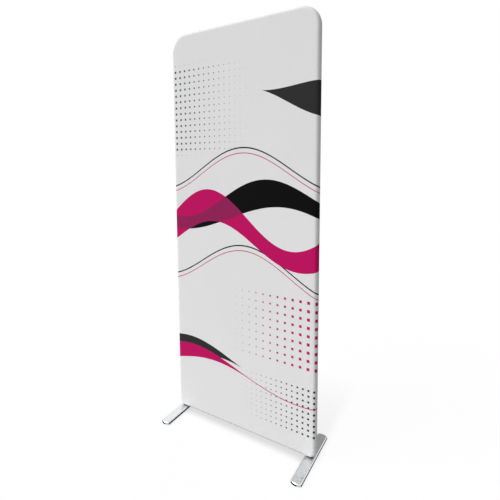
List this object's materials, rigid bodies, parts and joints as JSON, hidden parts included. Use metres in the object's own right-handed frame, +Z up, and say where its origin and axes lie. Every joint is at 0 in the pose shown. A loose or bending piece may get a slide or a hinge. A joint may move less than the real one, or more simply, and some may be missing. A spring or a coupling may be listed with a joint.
{
  "type": "fabric display stand",
  "caption": "Tall free-standing display panel: a zipped stretch-fabric cover over a plug-together round tube frame on flat polished feet.",
  "frame": {"origin": "on the floor, under the middle of the panel", "axes": "+X to the right along the panel's width, +Y to the back, +Z up; the printed front faces -Y"},
  "size_m": [0.8, 0.34, 2],
  "materials": {
    "polished_foot": "polished chrome-plated steel bar",
    "foot_rubber": "soft black rubber",
    "spacer_nylon": "black nylon",
    "zinc_steel": "bright zinc plate",
    "insert_brass": "turned brass",
    "printed_fabric": "dye-printed stretch knit, pale grey ground",
    "plain_fabric": "plain white stretch knit",
    "zip_tape": "woven polyester tape",
    "zip_plastic": "moulded acetal",
    "zip_metal": "nickel-plated zinc",
    "spring_steel": "bright spring steel",
    "cast_alloy": "die-cast, lightly blasted",
    "tube_aluminium": "satin anodised tube"
  },
  "bodies": {
    "frame": {"back_panel": "plain_fabric", "bottom_flap": "plain_fabric", "bottom_rail": "tube_aluminium", "foot_inserts": "insert_brass", "foot_screws": "zinc_steel", "front_panel": "printed_fabric", "left_corner_elbow": "cast_alloy", "left_foot_bush": "spacer_nylon", "left_lower_spring": "spring_steel", "left_lower_upright": "tube_aluminium", "left_mid_spigot": "tube_aluminium", "left_mid_spring": "spring_steel", "left_rail_spring": "spring_steel", "left_top_spigot": "tube_aluminium", "left_top_spring": "spring_steel", "left_upper_upright": "tube_aluminium", "right_corner_elbow": "cast_alloy", "right_foot_bush": "spacer_nylon", "right_lower_spring": "spring_steel", "right_lower_upright": "tube_aluminium", "right_mid_spigot": "tube_aluminium", "right_mid_spring": "spring_steel", "right_rail_spring": "spring_steel", "right_top_spigot": "tube_aluminium", "right_top_spring": "spring_steel", "right_upper_upright": "tube_aluminium", "spigot_rivets": "zinc_steel", "top_bow": "tube_aluminium", "zip_lower_tape": "zip_tape", "zip_lower_teeth": "zip_plastic", "zip_stops": "zip_plastic", "zip_upper_tape": "zip_tape", "zip_upper_teeth": "zip_plastic"},
    "left_foot": {"left_foot_plate": "polished_foot", "left_foot_pads": "foot_rubber"},
    "right_foot": {"right_foot_plate": "polished_foot", "right_foot_pads": "foot_rubber"},
    "zip_slider": {"zip_slider": "zip_metal"},
    "zip_pull": {"zip_pull": "zip_metal"},
    "left_lower_button": {"left_lower_button": "spring_steel"},
    "left_mid_button": {"left_mid_button": "spring_steel"},
    "left_top_button": {"left_top_button": "spring_steel"},
    "left_rail_button": {"left_rail_button": "spring_steel"},
    "right_lower_button": {"right_lower_button": "spring_steel"},
    "right_mid_button": {"right_mid_button": "spring_steel"},
    "right_top_button": {"right_top_button": "spring_steel"},
    "right_rail_button": {"right_rail_button": "spring_steel"}
  },
  "joints": [
    {"name": "left_foot_swivel", "type": "hinge", "parent": "frame", "child": "left_foot", "pos_m": [-0.3699, 0, 0.006], "axis": [0, 0, 1], "range_deg": [-90, 90]},
    {"name": "left_lower_button_press", "type": "slide", "parent": "frame", "child": "left_lower_button", "axis": [1, 0, 0], "range_m": [-0.0046, 0], "stiffness_N_per_m": 2500, "deforming": ["left_lower_spring"]},
    {"name": "left_mid_button_press", "type": "slide", "parent": "frame", "child": "left_mid_button", "axis": [1, 0, 0], "range_m": [-0.0046, 0], "stiffness_N_per_m": 2500, "deforming": ["left_mid_spring"]},
    {"name": "left_top_button_press", "type": "slide", "parent": "frame", "child": "left_top_button", "axis": [1, 0, 0], "range_m": [-0.0046, 0], "stiffness_N_per_m": 2500, "deforming": ["left_top_spring"]},
    {"name": "left_rail_button_press", "type": "slide", "parent": "frame", "child": "left_rail_button", "axis": [0, 0, 1], "range_m": [-0.0046, 0], "stiffness_N_per_m": 2500, "deforming": ["left_rail_spring"]},
    {"name": "right_foot_swivel", "type": "hinge", "parent": "frame", "child": "right_foot", "pos_m": [0.3699, 0, 0.006], "axis": [0, 0, 1], "range_deg": [-90, 90]},
    {"name": "right_lower_button_press", "type": "slide", "parent": "frame", "child": "right_lower_button", "axis": [-1, 0, 0], "range_m": [-0.0046, 0], "stiffness_N_per_m": 2500, "deforming": ["right_lower_spring"]},
    {"name": "right_mid_button_press", "type": "slide", "parent": "frame", "child": "right_mid_button", "axis": [-1, 0, 0], "range_m": [-0.0046, 0], "stiffness_N_per_m": 2500, "deforming": ["right_mid_spring"]},
    {"name": "right_top_button_press", "type": "slide", "parent": "frame", "child": "right_top_button", "axis": [-1, 0, 0], "range_m": [-0.0046, 0], "stiffness_N_per_m": 2500, "deforming": ["right_top_spring"]},
    {"name": "right_rail_button_press", "type": "slide", "parent": "frame", "child": "right_rail_button", "axis": [0, 0, 1], "range_m": [-0.0046, 0], "stiffness_N_per_m": 2500, "deforming": ["right_rail_spring"]},
    {"name": "zip_slide", "type": "slide", "parent": "frame", "child": "zip_slider", "axis": [1, 0, 0], "range_m": [-0.696, 0], "deforming": ["zip_upper_teeth", "zip_lower_teeth"]},
    {"name": "zip_pull_swing", "type": "hinge", "parent": "zip_slider", "child": "zip_pull", "pos_m": [0.3453, 0.0214, 0.0733], "axis": [1, 0, 0], "range_deg": [0, 170]}
  ]
}
